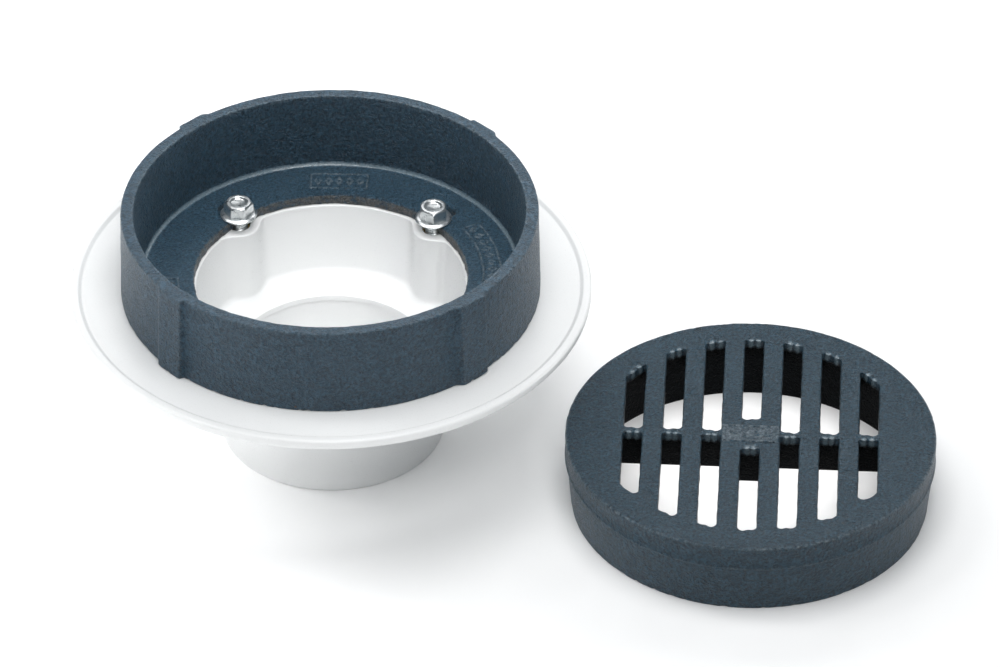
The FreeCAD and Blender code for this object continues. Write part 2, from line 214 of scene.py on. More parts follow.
def lathe(name, radius, height, angles, place=None, capped=False):
    """Quads through radius[k, j] and height[k, j]: k along the section, j round the axis.

    The section closes on itself, or with capped=True ends on the axis at both ends.
    """
    rows, columns = radius.shape
    vertices = np.stack([radius * np.cos(angles), radius * np.sin(angles), height], -1)
    vertices = vertices.reshape(-1, 3)
    faces = grid_quads(rows, columns, rows - 1 if capped else rows, columns)
    if capped:
        first_pole = len(vertices)
        poles = [[0, 0, height[0].mean()], [0, 0, height[-1].mean()]]
        vertices = np.concatenate([vertices, poles])
        top = (rows - 1) * columns
        for column in range(columns):
            following = (column + 1) % columns
            faces.append([first_pole, following, column])
            faces.append([first_pole + 1, top + column, top + following])
    return mesh_object(name, vertices, faces, place)


def at_bolt(place, level, turn=0):
    """Matrix in metres for a piece on a bolt's axis, at a level in millimetres."""
    angle_rad = math.radians(BOLT_ANGLES[place])
    spot = Vector((BOLT_CIRCLE * math.cos(angle_rad), BOLT_CIRCLE * math.sin(angle_rad), level))
    return Matrix.Translation(spot * MM) @ Matrix.Rotation(math.radians(turn), 4, "Z")


def bake_modifiers(piece):
    """Apply the piece's modifiers to its mesh."""
    evaluated = piece.evaluated_get(bpy.context.evaluated_depsgraph_get())
    mesh = bpy.data.meshes.new_from_object(evaluated)
    piece.modifiers.clear()
    piece.data = mesh


def combine(piece, tools, operation):
    """Boolean all the tools into the piece at once, and delete them."""
    work = bmesh.new()
    for tool in tools:
        work.from_mesh(tool.data)
    together = bpy.data.meshes.new("tools")
    work.to_mesh(together)
    work.free()
    for tool in tools:
        bpy.data.objects.remove(tool)
    holder = bpy.data.objects.new("tools", together)
    bpy.context.scene.collection.objects.link(holder)
    change = piece.modifiers.new("combine", "BOOLEAN")
    change.operation = operation
    change.object = holder
    change.solver = "EXACT"
    change.use_self = operation == "UNION"
    bake_modifiers(piece)
    bpy.data.objects.remove(holder)


def paint_mask(piece, name, amount):
    """A float on every vertex, for a material to read; amount takes x, y and z."""
    mesh = piece.data
    points = np.zeros(len(mesh.vertices) * 3)
    mesh.vertices.foreach_get("co", points)
    layer = mesh.attributes.new(name, "FLOAT", "POINT")
    values = amount(*points.reshape(-1, 3).T / MM)
    layer.data.foreach_set("value", values.astype(np.float32))


def shade(piece, sharp_angle=38):
    """Smooth shading with crisp edges kept, and normals that leave flat faces flat."""
    mesh = piece.data
    mesh.shade_smooth()
    mesh.set_sharp_from_angle(angle=math.radians(sharp_angle))
    weighted = piece.modifiers.new("weighted_normals", "WEIGHTED_NORMAL")
    weighted.keep_sharp = True


# ---- PVC drain body

SOCKET_DEPTH = 44.45
SOCKET_RADIUS = 57.3
HUB_RADIUS = 61.5
THROAT_RADIUS = 53.5
FLOOR_EDGE = 70.2
BOWL_RADIUS = 73.5
BOWL_OUTSIDE = 78.5
BOSS_RADIUS = 11.5
BOSS_FILLET = 7.0
INSERT_RECESS = 1.5
INSERT_LENGTH = 19.0


def boss_bulge(radius, angles, side, limit):
    """How far a wall at a radius moves to take in the bolt bosses, filleted into it.

    side is 1 for a wall pushed inwards and -1 for one pushed outwards, as far as the limit.
    """
    best = np.zeros(np.broadcast(radius, angles).shape)
    for centre in BOLT_ANGLES.values():
        away = angle_from(angles, centre)

        def distance(moved):
            r = side * moved
            spacing = r**2 + BOLT_CIRCLE**2 - 2 * r * BOLT_CIRCLE * np.cos(away)
            to_boss = np.sqrt(np.maximum(spacing, 0)) - BOSS_RADIUS
            return smooth_min(side * (radius - r), to_boss, BOSS_FILLET)

        found = solve(distance, side * limit, side * radius)
        best = np.minimum(best, found - side * radius)
    return side * best


def make_drain_body():
    """Flange with a fine rim bead, bowl with bosses, sloped floor, throat and hub."""
    throat_top = SOCKET_DEPTH + 3.15
    floor_top = throat_top + 6.0
    under = DECK - 4.75
    rim = FLANGE_RADIUS
    inner = rounded(
        [
            (THROAT_RADIUS, throat_top, 0), (THROAT_RADIUS + 0.8, throat_top + 0.2, 0),
            (FLOOR_EDGE, floor_top, 4.2), (BOWL_RADIUS, DECK, 0),
        ],
        steps=8, longest=2.0,
    )[:-1]
    edge = rounded(
        [(BOWL_RADIUS - 0.2, 92.0, 0), (BOWL_RADIUS, DECK, 0.9), (80, DECK, 0)],
    )[:-1]
    deck = rounded(
        [
            (90, DECK, 0), (rim - 6.4, DECK - 0.15, 1.6), (rim - 4.4, RIM_TOP, 1.6),
            (rim, RIM_TOP, 1.7), (rim, under, 2.5), (110, under, 0),
        ],
        steps=4,
    )
    outer = rounded(
        [(96, under, 0), (BOWL_OUTSIDE, under, 3.0), (75.0, 47.0, 3.0), (64, 43.0, 0)],
        longest=2.5,
    )
    hub = rounded(
        [
            (HUB_RADIUS + 1.1, 42.0, 0), (HUB_RADIUS, 40.0, 1.2), (HUB_RADIUS, 0, 0.9),
            (SOCKET_RADIUS + 1.2, 0, 0.5), (SOCKET_RADIUS, 1.2, 0),
            (SOCKET_RADIUS, SOCKET_DEPTH, 0.4), (THROAT_RADIUS, SOCKET_DEPTH, 0.3),
        ],
        steps=4,
    )
    section = np.concatenate([inner, edge, deck, outer, hub])
    angles = spread_angles(1.2, [(centre, 15, 0.3) for centre in BOLT_ANGLES.values()])
    radius, height = swept(section, angles)

    # the bosses stand out of the bowl's wall, inside and outside
    bowl = len(inner) + len(edge)
    up = (height[:bowl] - floor_top) / (DECK - floor_top)
    wall = FLOOR_EDGE + (BOWL_RADIUS - FLOOR_EDGE) * up
    wall = np.where(height[:bowl] > floor_top + 4, wall, radius[:bowl])
    radius[:bowl] += boss_bulge(wall, angles, 1, 40.0)
    outside = slice(bowl + len(deck), bowl + len(deck) + len(outer))
    on_boss = (height[outside] > 48.5) & (radius[outside] < 90)
    wall = np.minimum(radius[outside], BOWL_OUTSIDE)
    bulged = np.maximum(radius[outside], wall + boss_bulge(wall, angles, -1, 125.0))
    radius[outside] = np.where(on_boss, bulged, radius[outside])
    piece = lathe("drain_moulding", radius, height, angles)

    # a hole for each insert, with a narrower one under it for the bolt's tip
    seat = DECK - INSERT_RECESS - INSERT_LENGTH
    hole = [(5.3, DECK - 32.0), (5.3, seat), (6.35, seat), (6.35, DECK + 3.0)]
    circle = spread_angles(7.5, [])
    cutters = []
    for place, angle in BOLT_ANGLES.items():
        spot = at_bolt(place, 0, angle)
        cutters.append(lathe("cutter", *swept(np.array(hole), circle), circle, spot, capped=True))
    combine(piece, cutters, "DIFFERENCE")
    shade(piece)
    return piece


# ---- cast-iron clamping ring

RING_HOLE = 74.6
RING_SEAT = 103.4
RING_MOUTH = 106.5
RING_TOP_RADIUS = 113.35
NOTCH_END = 85.5
NOTCH_HALF = 5.5
RIB_HALF = 8.3
RIB_FOOT_FACE = 117.2
RIB_TOP_FACE = 115.1
PAD_BORDER = 1.1
PAD_RISE = 0.88
PAD_FIELD = 0.25


def framed_pad(along, across, half_long, half_wide, marks):
    """Height of a plain cast plate: a raised border and a row of hollow raised lozenges."""
    to_edge = np.minimum(half_long - np.abs(along), half_wide - np.abs(across))
    plate = PAD_FIELD * ramp(to_edge, 0, 0.8)
    border = ramp(to_edge, 0.0, 0.6) * (1 - ramp(to_edge, PAD_BORDER, PAD_BORDER + 0.6))
    row_end = half_long - 1.8 * PAD_BORDER
    spacing = 2 * row_end / marks
    nearest = (np.floor(along / spacing + 0.5 * (marks % 2)) + 0.5 * (1 - marks % 2)) * spacing
    size = np.abs(along - nearest) / (0.46 * spacing) + np.abs(across) / (0.66 * half_wide)
    lozenge = ramp(size, 0.22, 0.42) * (1 - ramp(size, 0.78, 1.0))
    inside = np.abs(nearest) < row_end
    return plate + (PAD_RISE - PAD_FIELD) * np.maximum(border, lozenge * inside)


def notch_radius(angles):
    """Radius of the shelf's hole at each angle: round, with a U-shaped notch at each bolt."""
    result = np.full(angles.shape, RING_HOLE)
    for centre in BOLT_ANGLES.values():
        away = np.abs(angle_from(angles, centre))
        side = np.minimum(NOTCH_HALF / np.maximum(np.sin(away), 1e-6), NOTCH_END)
        in_notch = away < math.asin(NOTCH_HALF / RING_HOLE)
        result = np.where(in_notch, np.maximum(result, side), result)
        in_end = away < math.atan2(NOTCH_HALF, NOTCH_END)
        depth = np.sqrt(np.maximum(NOTCH_HALF**2 - (NOTCH_END * np.sin(away)) ** 2, 0))
        result = np.where(in_end, NOTCH_END * np.cos(away) + depth, result)
    return result


def notch_angles():
    """Angles, in degrees, that follow the notch outline closely."""
    turns_rad = np.radians(range(0, 91, 9))
    spots = [(NOTCH_END + NOTCH_HALF * math.cos(t), NOTCH_HALF * math.sin(t)) for t in turns_rad]
    spots += [(x, NOTCH_HALF) for x in (83, 80.5, 78, 76, 74.8, 74.0)]
    offsets = [math.degrees(math.atan2(y, x)) for x, y in spots]
    offsets += [-offset for offset in offsets]
    return [centre + offset for centre in BOLT_ANGLES.values() for offset in offsets]


def rib_bulge(wall, height, angles):
    """How far the outer wall moves to take in the ribs.

    A rib's face is flat. Its clockwise side slopes and its other side is steep.
    """
    best = np.zeros(wall.shape)
    up = (height - DECK) / (RING_TOP - DECK)
    face = RIB_FOOT_FACE + (RIB_TOP_FACE - RIB_FOOT_FACE) * up
    for centre in BOLT_ANGLES.values():
        away = angle_from(angles, centre)
        slope = np.where(away < 0, 1.15, 0.3)

        def distance(moved):
            across = np.abs(moved * np.sin(away))
            below_face = face + moved * np.cos(away)
            side = (across - RIB_HALF - slope * below_face) / np.hypot(1, slope)
            rib = -smooth_min(below_face, -side, 0.7)
            return smooth_min(-moved - wall, rib, 0.9)

        found = solve(distance, -125.0, -wall + 0.8)
        near = np.abs(away) < math.radians(9)
        best = np.where(near, np.maximum(best, -found - wall), best)
    return best


def shelf_pads(radius, angles):
    """Height of the cast pads on the shelf: a straight one at the back and two curved ones."""
    x = radius * np.cos(angles)
    y = radius * np.sin(angles)
    turn_rad = math.radians(88)
    across = x * math.cos(turn_rad) + y * math.sin(turn_rad) - 87
    along = x * math.sin(turn_rad) - y * math.cos(turn_rad)
    half_long, half_wide = 16.5, 7.5
    inside = (np.abs(along) < half_long) & (np.abs(across) < half_wide)
    relief = np.where(inside, framed_pad(along, across, half_long, half_wide, 5), 0)
    middle, half_wide = 88.25, 5.6
    for start, stop, marks in ((-4.5, 31.0, 8), (182.0, 203.0, 5)):
        across = radius - middle
        along = angle_from(angles, (start + stop) / 2) * middle + 0 * across
        half_long = math.radians((stop - start) / 2) * middle
        inside = (np.abs(along) < half_long) & (np.abs(across) < half_wide)
        relief = np.where(inside, framed_pad(along, across, half_long, half_wide, marks), relief)
    return relief


def make_clamp_ring():
    """Tapered wall, ribs, shelf with bolt notches and blank cast pads, one rough casting."""
    hole = RING_HOLE
    wall_start = RING_SEAT - 3.0
    under = rounded(
        [(109, DECK, 0), (hole + 5, DECK, 0), (hole + 1.3, DECK, 0)],
        longest=12,
    )
    lip = rounded(
        [
            (hole + 1.2, DECK, 0), (hole, DECK, 0.9), (hole, SHELF_TOP, 1.5),
            (hole + 2.0, SHELF_TOP, 0),
        ],
        steps=4, longest=0.9,
    )
    shelf = rounded(
        [(hole + 2.6, SHELF_TOP, 0), (wall_start - 0.6, SHELF_TOP, 0)], longest=0.55
    )
    wall = rounded(
        [
            (wall_start, SHELF_TOP, 0), (RING_SEAT, SHELF_TOP, 2.8), (RING_MOUTH, RING_TOP, 0.7),
            (RING_TOP_RADIUS, RING_TOP, 1.0), (RING_BASE_RADIUS, DECK, 0.7),
            (RING_BASE_RADIUS - 3, DECK, 0),
        ],
        longest=1.6,
    )
    section = np.concatenate([under, lip, shelf, wall])
    bands = [(centre, 6.8, 0.22) for centre in BOLT_ANGLES.values()]
    bands += [(88, 12.2, 0.28), (13.25, 19, 0.28), (192.5, 11.5, 0.28)]
    angles = spread_angles(0.75, bands, notch_angles())
    radius, height = swept(section, angles)
    on_shelf = (np.abs(height - SHELF_TOP) < 0.01) & (radius > hole + 2) & (radius < wall_start)
    height = height + np.where(on_shelf, shelf_pads(radius, angles), 0)

    # the hole's edge follows the notches, and the shelf closes up behind it
    inner_rows = len(under) + len(lip) + len(shelf)
    share = (wall_start - radius[:inner_rows]) / (wall_start - (hole + 1.5))
    radius[:inner_rows] += (notch_radius(angles) - hole) * np.clip(share, 0, 1)

    # ribs on the outer wall
    outer = np.zeros(len(section), bool)
    outer[inner_rows:] = section[inner_rows:, 0] > RING_TOP_RADIUS - 3
    down = (RING_TOP - height[outer]) / (RING_TOP - DECK)
    base_wall = RING_TOP_RADIUS + (RING_BASE_RADIUS - RING_TOP_RADIUS) * down
    radius[outer] += rib_bulge(base_wall, height[outer], angles)

    # cast roughness: shallow on the wall, deeper on the raw edge of the hole
    x = radius * np.cos(angles)
    y = radius * np.sin(angles)
    upper = 0.35 + 0.65 * ramp(height, DECK + 14, DECK + 34)
    lumps = 0.22 * rough(x, y, height, 13.0, 1) + 0.16 * upper * rough(x, y, height, 4.2, 2)
    ragged = 0.34 * rough(x, y, height, 3.4, 3) + 0.2 * rough(x, y, height, 1.5, 4)
    row = np.arange(len(section))[:, None]
    on_lip = (row >= len(under)) & (row < len(under) + len(lip))
    worked = np.abs(lumps) * (row >= inner_rows) + ragged * on_lip
    radius = radius - worked * (height > DECK + 0.05)
    sunk = 0.1 + 0.12 * rough(x, y, height, 7.0, 5) + 0.08 * rough(x, y, height, 2.6, 6)
    height = np.where(height > RING_TOP - 1.6, height - np.maximum(sunk, 0), height)

    # chips along the base of the outer wall
    foot = DECK + 2.0
    at_foot = (height < foot) & (radius > RING_BASE_RADIUS - 2.0)
    chips = np.clip(rough(x, y, 0, 2.6, 7) - 0.25, 0, 0.5) * 1.8
    height = height + np.where(at_foot, chips * (foot - height) / 2.0, 0)
    piece = lathe("ring_casting", radius, height, angles)
    paint_mask(piece, "raw_iron", raw_edge)
    paint_mask(piece, "wear_and_painted_highlight", ring_wear_and_painted_highlight)
    paint_mask(piece, "gloss_and_painted_highlight", ring_fillet)
    shade(piece, 50)
    return piece


def ring_wear_and_painted_highlight(x, y, z):
    """1 along the ring's rim edges and rib edges and on the raised parts of its pads, coloured
    lighter there partly by wear from handling and partly as a painted highlight.
    """
    reach = np.hypot(x, y)
    angles = np.arctan2(y, x)
    near_top = ramp(z, RING_TOP - 1.3, RING_TOP - 0.5)
    inner = near_top * (1 - ramp(np.abs(reach - RING_MOUTH - 0.1), 0.2, 0.8))
    edge = np.full(reach.shape, RING_TOP_RADIUS - 0.15)
    ribs = np.zeros(reach.shape)
    for centre in BOLT_ANGLES.values():
        away = angle_from(angles, centre)
        across = np.abs(reach * np.sin(away))
        on_rib = (across < RIB_HALF + 0.7) & (reach * np.cos(away) > 100)
        edge = np.where(on_rib, RIB_TOP_FACE - 0.2, edge)
        line = 1 - ramp(np.abs(across - RIB_HALF), 0.15, 0.6)
        proud = (reach * np.cos(away) > RING_TOP_RADIUS + 0.25) & (z > DECK + 0.5)
        ribs = np.maximum(ribs, line * proud)
    outer = near_top * (1 - ramp(np.abs(reach - edge), 0.3, 0.9))
    edges = np.maximum(np.maximum(inner, 0.6 * outer), 0.8 * ribs)
    pads = ramp(z, SHELF_TOP + 0.45, SHELF_TOP + 0.75) * (reach < 99) * (z < SHELF_TOP + 1.2)
    return np.maximum(0.75 * edges, 1.5 * pads)


def ring_fillet(x, y, z):
    """1 on the fillet between shelf and wall, where the coating has run smooth and its colour is
    made paler as a painted highlight.
    """
    reach = np.hypot(x, y)
    rise = z - SHELF_TOP
    line = ramp(rise, 0.05, 0.5) * (1 - ramp(rise, 1.3, 2.6))
    return line * (reach > 99.5) * (reach < 105)


def raw_edge(x, y, z):
    """1 on the uncoated edge of the shelf's hole, 0 elsewhere."""
    return (np.hypot(x, y) < RING_HOLE + 0.8) & (z < SHELF_TOP - 0.5)


# ---- slotted grate

GRATE_LOW, GRATE_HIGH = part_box("grate")
GRATE_CENTRE = (GRATE_LOW + GRATE_HIGH) / 2
GRATE_TURN = -3.2
GRATE_RADIUS = 101.0
GRATE_TOP = 43.2
DECK_UNDER = 38.4
BAR_BOTTOM = 20.6
SEAM_LEVEL = 29.4
SKIRT_INSIDE = 93.0
SLOT_PITCH = 21.35
SLOT_HALF = 5.45
SLOT_REACH = 84.0
GRATE_PLACE = Matrix.Translation((GRATE_CENTRE.x, GRATE_CENTRE.y, 0)) @ Matrix.Rotation(
    math.radians(GRATE_TURN), 4, "Z"
)


def slot_outline(column, side, dice):
    """One slot's outline at the deck's top, how strong its paint runs are, and where they are.

    The far end is square with two runs; the near end is rounder, with an uneven lip.
    """
    gap = 13.2 if column == 0 else 2.3
    middle = column * SLOT_PITCH
    left = middle - SLOT_HALF
    right = middle + SLOT_HALF
    ends = [math.sqrt(SLOT_REACH**2 - left**2), math.sqrt(SLOT_REACH**2 - right**2)]
    low = [gap, gap] if side > 0 else [-ends[0], -ends[1]]
    high = ends if side > 0 else [-gap, -gap]
    corners = [
        (left, low[0], dice.uniform(2.7, 3.6)),
        (right, low[1], dice.uniform(2.7, 3.6)),
        (right, high[1], dice.uniform(0.8, 1.2)),
        (left, high[0], dice.uniform(0.8, 1.2)),
    ]
    points = rounded(corners, steps=6, longest=0.9, closed=True)
    normals = outward(points)
    uneven = 0.16 * rough(*points.T, 0, 4.5, column * 3 + side + 20)
    share = (points[:, 0] - middle) / SLOT_HALF
    lean = 1 if dice.random() < 0.7 else -1
    lip = 0.9 * np.exp(-(((share - 0.42 * lean) / 0.3) ** 2))
    lip = lip - 0.4 * np.exp(-(((share + 0.12 * lean) / 0.22) ** 2))
    on_near_end = np.clip(-normals[:, 1] - 0.25, 0, 0.6) / 0.6
    points = points + normals * (uneven + 0.75 * lip * on_near_end)[:, None]
    on_far_end = np.clip(normals[:, 1] - 0.3, 0, 0.5) / 0.5
    runs = np.zeros(len(points))
    spots = []
    for offset in (-1.9, 2.1):
        spot = middle + offset + dice.uniform(-0.5, 0.5)
        weight = dice.uniform(0.65, 1.0)
        shape = weight * np.exp(-(((points[:, 0] - spot) / 0.62) ** 2)) * on_far_end
        runs += shape
        spots.append(points[int(np.argmax(shape))])
    return points, runs, spots


def outward(points):
    """Unit normals of a counter-clockwise outline, pointing away from its inside."""
    along = np.roll(points, -1, 0) - np.roll(points, 1, 0)
    normals = np.stack([along[:, 1], -along[:, 0]], 1)
    return normals / np.linalg.norm(normals, axis=1)[:, None]


def search_tree(points):
    """A tree that finds the nearest of some flat points."""
    tree = kdtree.KDTree(len(points))
    for index, point in enumerate(points):
        tree.insert((*point, 0), index)
    tree.balance()
    return tree


def fill_with_holes(rim, holes, spacing, seed):
    """Triangles over the inside of a rim outline, leaving out the holes."""
    dice = random.Random(seed)
    points = []
    edges = []
    for outline in [rim] + holes:
        start = len(points)
        points += [Vector(point) for point in outline.tolist()]
        edges += [(start + i, start + (i + 1) % len(outline)) for i in range(len(outline))]
    limit = np.abs(rim).max()
    steps = int(limit / spacing) + 1
    clear = spacing * 0.55
    border = search_tree(points)
    for i, j in itertools.product(range(-steps, steps + 1), repeat=2):
        spot = np.array([i + 0.5 * (j % 2), j * 0.87]) * spacing
        spot += np.array([dice.uniform(-0.1, 0.1), dice.uniform(-0.1, 0.1)]) * spacing
        if np.hypot(*spot) < limit - clear and border.find((*spot, 0))[2] > clear:
            points.append(Vector(spot.tolist()))
    result = geometry.delaunay_2d_cdt(points, edges, [], 0, 1e-5)
    corners = np.array([list(point) for point in result[0]])
    triangles = np.array([list(triangle) for triangle in result[2]])
    middles = corners[triangles].mean(1)
    kept = contains(rim, middles)
    for hole in holes:
        kept &= ~contains(hole, middles)
    return corners, triangles[kept].tolist()


def contains(outline, points):
    """Whether each point is inside a closed outline."""
    a = outline[:, None]
    b = np.roll(outline, -1, 0)[:, None]
    x, y = points.T
    crosses = (a[..., 1] > y) != (b[..., 1] > y)
    with np.errstate(divide="ignore", invalid="ignore"):
        where = a[..., 0] + (y - a[..., 1]) * (b[..., 0] - a[..., 0]) / (b[..., 1] - a[..., 1])
    return np.count_nonzero(crosses & (x < where), axis=0) % 2 == 1


def make_bar(name, right_half, reach, across=0.0, turn_rad=0.0, parts=12, steps=3):
    """A bar swept along y from -reach to reach at x = across, then turned.

    right_half lists the (half width, height, radius) corners of its section, from the top.
    """
    mirrored = [(-x, z, radius) for x, z, radius in reversed(right_half)]
    section = rounded(right_half + mirrored, steps=steps, closed=True)
    rows = [-reach + 2 * reach * part / parts for part in range(parts + 1)]
    spin = Matrix.Rotation(turn_rad, 3, "Z")
    vertices = [list(spin @ Vector((x + across, y, z))) for y in rows for x, z in section]
    size = len(section)
    faces = [list(range(size)), [parts * size + i for i in reversed(range(size))]]
    faces += grid_quads(parts + 1, size, parts, size)
    return mesh_object(name, vertices, faces, GRATE_PLACE)


def slot_loops(points, runs, jag):
    """A slot's loops: rounded mouth, drafted wall with paint runs, and a ragged lower lip."""
    normals = outward(points)
    mouth = 0.55
    loops = []
    for step in range(4):
        turn_rad = math.radians(90 * step / 3)
        spread = mouth * (1 - math.sin(turn_rad)) - 0.5 * runs * math.sin(turn_rad)
        loops.append((spread, GRATE_TOP - mouth * (1 - math.cos(turn_rad)) + 0 * runs))
    for part in (0.3, 0.65, 1.0):
        spread = -(0.4 * part + runs * (0.5 + 0.45 * part))
        level = GRATE_TOP - mouth - 3.5 * part - part**2 * (0.9 * runs + 0.3 * jag)
        loops.append((spread, level))
    loops.append((-(0.05 + 0.5 * runs), DECK_UNDER - 0.15 - 0.8 * runs))
    loops.append((0.6 + 0 * runs, DECK_UNDER + 0 * runs))
    return [np.column_stack([points + normals * spread[:, None], z]) for spread, z in loops]


def make_grate():
    """Slotted deck with rounded slot mouths, tapered skirt, deep bars and a middle block."""
    dice = random.Random(7)
    angles = spread_angles(1.0, [])
    circle = np.stack([np.cos(angles), np.sin(angles)], 1)
    vertices = []
    faces = []

    def add(points, polygons):
        start = len(vertices)
        vertices.extend([list(point) for point in points])
        faces.extend([[start + i for i in polygon] for polygon in polygons])

    def bridge(loops):
        size = len(loops[0])
        add(np.concatenate(loops), grid_quads(len(loops), size, len(loops) - 1, size))

    mouths = []
    undersides = []
    wet_spots = []
    for column, side in itertools.product(range(-3, 4), (1, -1)):
        points, runs, spots = slot_outline(column, side, dice)
        wet_spots += spots
        loops = slot_loops(points, runs, rough(*points.T, 0, 1.6, column + 4 * side + 50))
        mouths.append(loops[0][:, :2])
        undersides.append(loops[-1][:, :2])
        bridge(loops)

    # deck top, slightly uneven away from its edges, and underside
    top_rim = GRATE_RADIUS - 1.5
    under_rim = SKIRT_INSIDE - 3.0
    corners, triangles = fill_with_holes(circle * top_rim, mouths, 2.6, 3)
    border = search_tree(np.concatenate(mouths + [circle * top_rim]))
    clear = np.array([border.find((*point, 0))[2] for point in corners])
    dip = 0.16 * np.abs(rough(*corners.T, 0, 9.0, 11))
    add(np.column_stack([corners, GRATE_TOP - dip * ramp(clear, 0, 2.5)]), triangles)
    corners, triangles = fill_with_holes(circle * under_rim, undersides, 8.0, 4)
    add(np.column_stack([corners, np.full(len(corners), DECK_UNDER)]), triangles)

    # skirt: rounded rim, parting line, taper, foot, inner wall
    skirt = rounded(
        [
            (top_rim, GRATE_TOP, 0), (GRATE_RADIUS - 0.05, GRATE_TOP, 1.4),
            (GRATE_RADIUS - 0.55, SEAM_LEVEL + 1.1, 0.3), (GRATE_RADIUS - 0.02, SEAM_LEVEL, 0.3),
            (GRATE_RADIUS - 1.0, SEAM_LEVEL - 1.1, 0.3), (97.4, 0, 0.7),
            (SKIRT_INSIDE - 0.2, 0, 0.8), (SKIRT_INSIDE, DECK_UNDER, 2.9),
            (under_rim, DECK_UNDER, 0),
        ],
        longest=2.6,
    )
    radius, height = swept(skirt, angles)
    x = radius * np.cos(angles)
    y = radius * np.sin(angles)
    free = (radius > 95) & (height < GRATE_TOP - 0.05) & (height > 0.05)
    dents = 0.2 * np.abs(rough(x, y, height, 13.0, 8)) + 0.1 * np.abs(rough(x, y, height, 4.0, 9))
    off_seam = ramp(np.abs(height - SEAM_LEVEL), 0.5, 2.0)
    radius = radius - np.where(free, dents * off_seam, 0)
    foot = (height < 2.0) & (radius > 94)
    nicks = np.maximum(rough(x, y, 0, 3.0, 10) - 0.28, 0) * 1.6
    height = height + np.where(foot, 0.4 * nicks * (2.0 - height), 0)
    rim = (height > GRATE_TOP - 1.6) & (radius > 98)
    nicks = np.clip(rough(x, y, height, 2.4, 12) - 0.35, 0, 0.4)
    radius = radius - np.where(rim, nicks * 0.9, 0)
    bridge([np.column_stack([r[:, None] * circle, z]) for r, z in zip(radius, height)])
    deck = mesh_object("grate_casting", vertices, faces, GRATE_PLACE)

    # bars under the deck, the thin cross bar and the solid block in the middle
    top = DECK_UNDER + 1.6
    bar = [(4.85, top, 0), (4.8, DECK_UNDER, 0), (3.5, BAR_BOTTOM, 1.4)]
    thin = [(2.2, top, 0), (2.1, DECK_UNDER, 0), (1.6, BAR_BOTTOM, 0.9)]
    block = [(10.9, top, 0), (10.9, BAR_BOTTOM, 0.5)]
    into_skirt = 95.0
    tools = []
    for step in (-2.5, -1.5, -0.5, 0.5, 1.5, 2.5):
        across = step * SLOT_PITCH
        tools.append(make_bar("bar", bar, math.sqrt(into_skirt**2 - across**2), across))
    tools.append(make_bar("cross_bar", thin, into_skirt, turn_rad=math.pi / 2))
    tools.append(make_bar("middle_block", block, 12.9, parts=2, steps=2))
    combine(deck, tools, "UNION")
    paint_mask(deck, "gloss_and_painted_highlight", lambda *place: near_runs(*place, wet_spots))
    paint_mask(deck, "wear_and_painted_highlight", grate_wear_and_painted_highlight)
    paint_mask(deck, "inside", painted_shade_below_deck)
    shade(deck, 40)
    return deck


def near_runs(x, y, z, spots):
    """1 on the paint runs at the slots' far ends, whose colour is made paler as a painted
    highlight; 0 elsewhere.
    """
    amount = np.zeros(len(x))
    for along, across in spots:
        spot = GRATE_PLACE @ Vector((along * MM, across * MM, 0)) / MM
        away = np.hypot(x - spot.x, y - spot.y)
        amount = np.maximum(amount, (1 - ramp(away, 0.9, 1.6)) * (z > DECK_UNDER + 0.5))
    return amount


def grate_reach(x, y):
    """Distance of each point from the grate's axis."""
    return np.hypot(x - GRATE_CENTRE.x / MM, y - GRATE_CENTRE.y / MM)


def painted_shade_below_deck(x, y, z):
    """1 on the bars and the skirt's inner wall, under the deck, which are coloured near black as
    painted shade; 0 on what is seen from above.
    """
    return ramp(GRATE_TOP - z, 2.2, 5.0) * (grate_reach(x, y) < SKIRT_INSIDE + 0.6)


def grate_wear_and_painted_highlight(x, y, z):
    """1 along the deck's outer edge and the parting line of the skirt, coloured lighter there
    partly by wear and partly as a painted highlight.
    """
    reach = grate_reach(x, y)
    near_edge = 1 - ramp(np.abs(reach - (GRATE_RADIUS - 0.5)), 0.3, 0.9)
    corner = near_edge * ramp(z, GRATE_TOP - 1.5, GRATE_TOP - 0.6)
    seam = (1 - ramp(np.abs(z - SEAM_LEVEL), 0.2, 0.7)) * (reach > GRATE_RADIUS - 1)
    return np.maximum(corner, 0.6 * seam)


def plate_wear_and_painted_highlight(x, y, z):
    """Rises on the plate's raised border and lozenges, coloured lighter partly by wear and partly
    as a painted highlight.
    """
    return 0.6 + 1.2 * ramp(z, GRATE_TOP, GRATE_TOP + 0.3)


def make_grate_plate():
    """The raised blank plate in the middle of the deck: a border and plain lozenges."""
    half_long = 15.6
    half_wide = 7.5
    along = np.arange(-half_long, half_long + 0.01, 0.4)
    across = np.arange(-half_wide, half_wide + 0.01, 0.3)
    x, y = np.meshgrid(along, across, indexing="ij")
    rise = 0.45 * framed_pad(x, y, half_long, half_wide, 5) / PAD_RISE
    top = np.stack([x, y, GRATE_TOP - 0.02 + rise], -1).reshape(-1, 3)
    bottom = np.stack([x, y, 0 * x + GRATE_TOP - 0.6], -1).reshape(-1, 3)
    rows, columns = x.shape
    count = rows * columns
    quads = grid_quads(rows, columns, rows - 1, columns - 1)
    faces = quads + [[count + corner for corner in reversed(quad)] for quad in quads]
    grid = np.arange(count).reshape(rows, columns)
    rim = np.concatenate([grid[0], grid[1:, -1], grid[-1, -2::-1], grid[-2:0:-1, 0]]).tolist()
    faces += [[a, b, count + b, count + a] for a, b in zip(rim, rim[1:] + rim[:1])]
    piece = mesh_object("grate_plate", np.concatenate([top, bottom]), faces, GRATE_PLACE)
    paint_mask(piece, "wear_and_painted_highlight", plate_wear_and_painted_highlight)
    shade(piece, 60)
    return piece


# ---- bolts and inserts


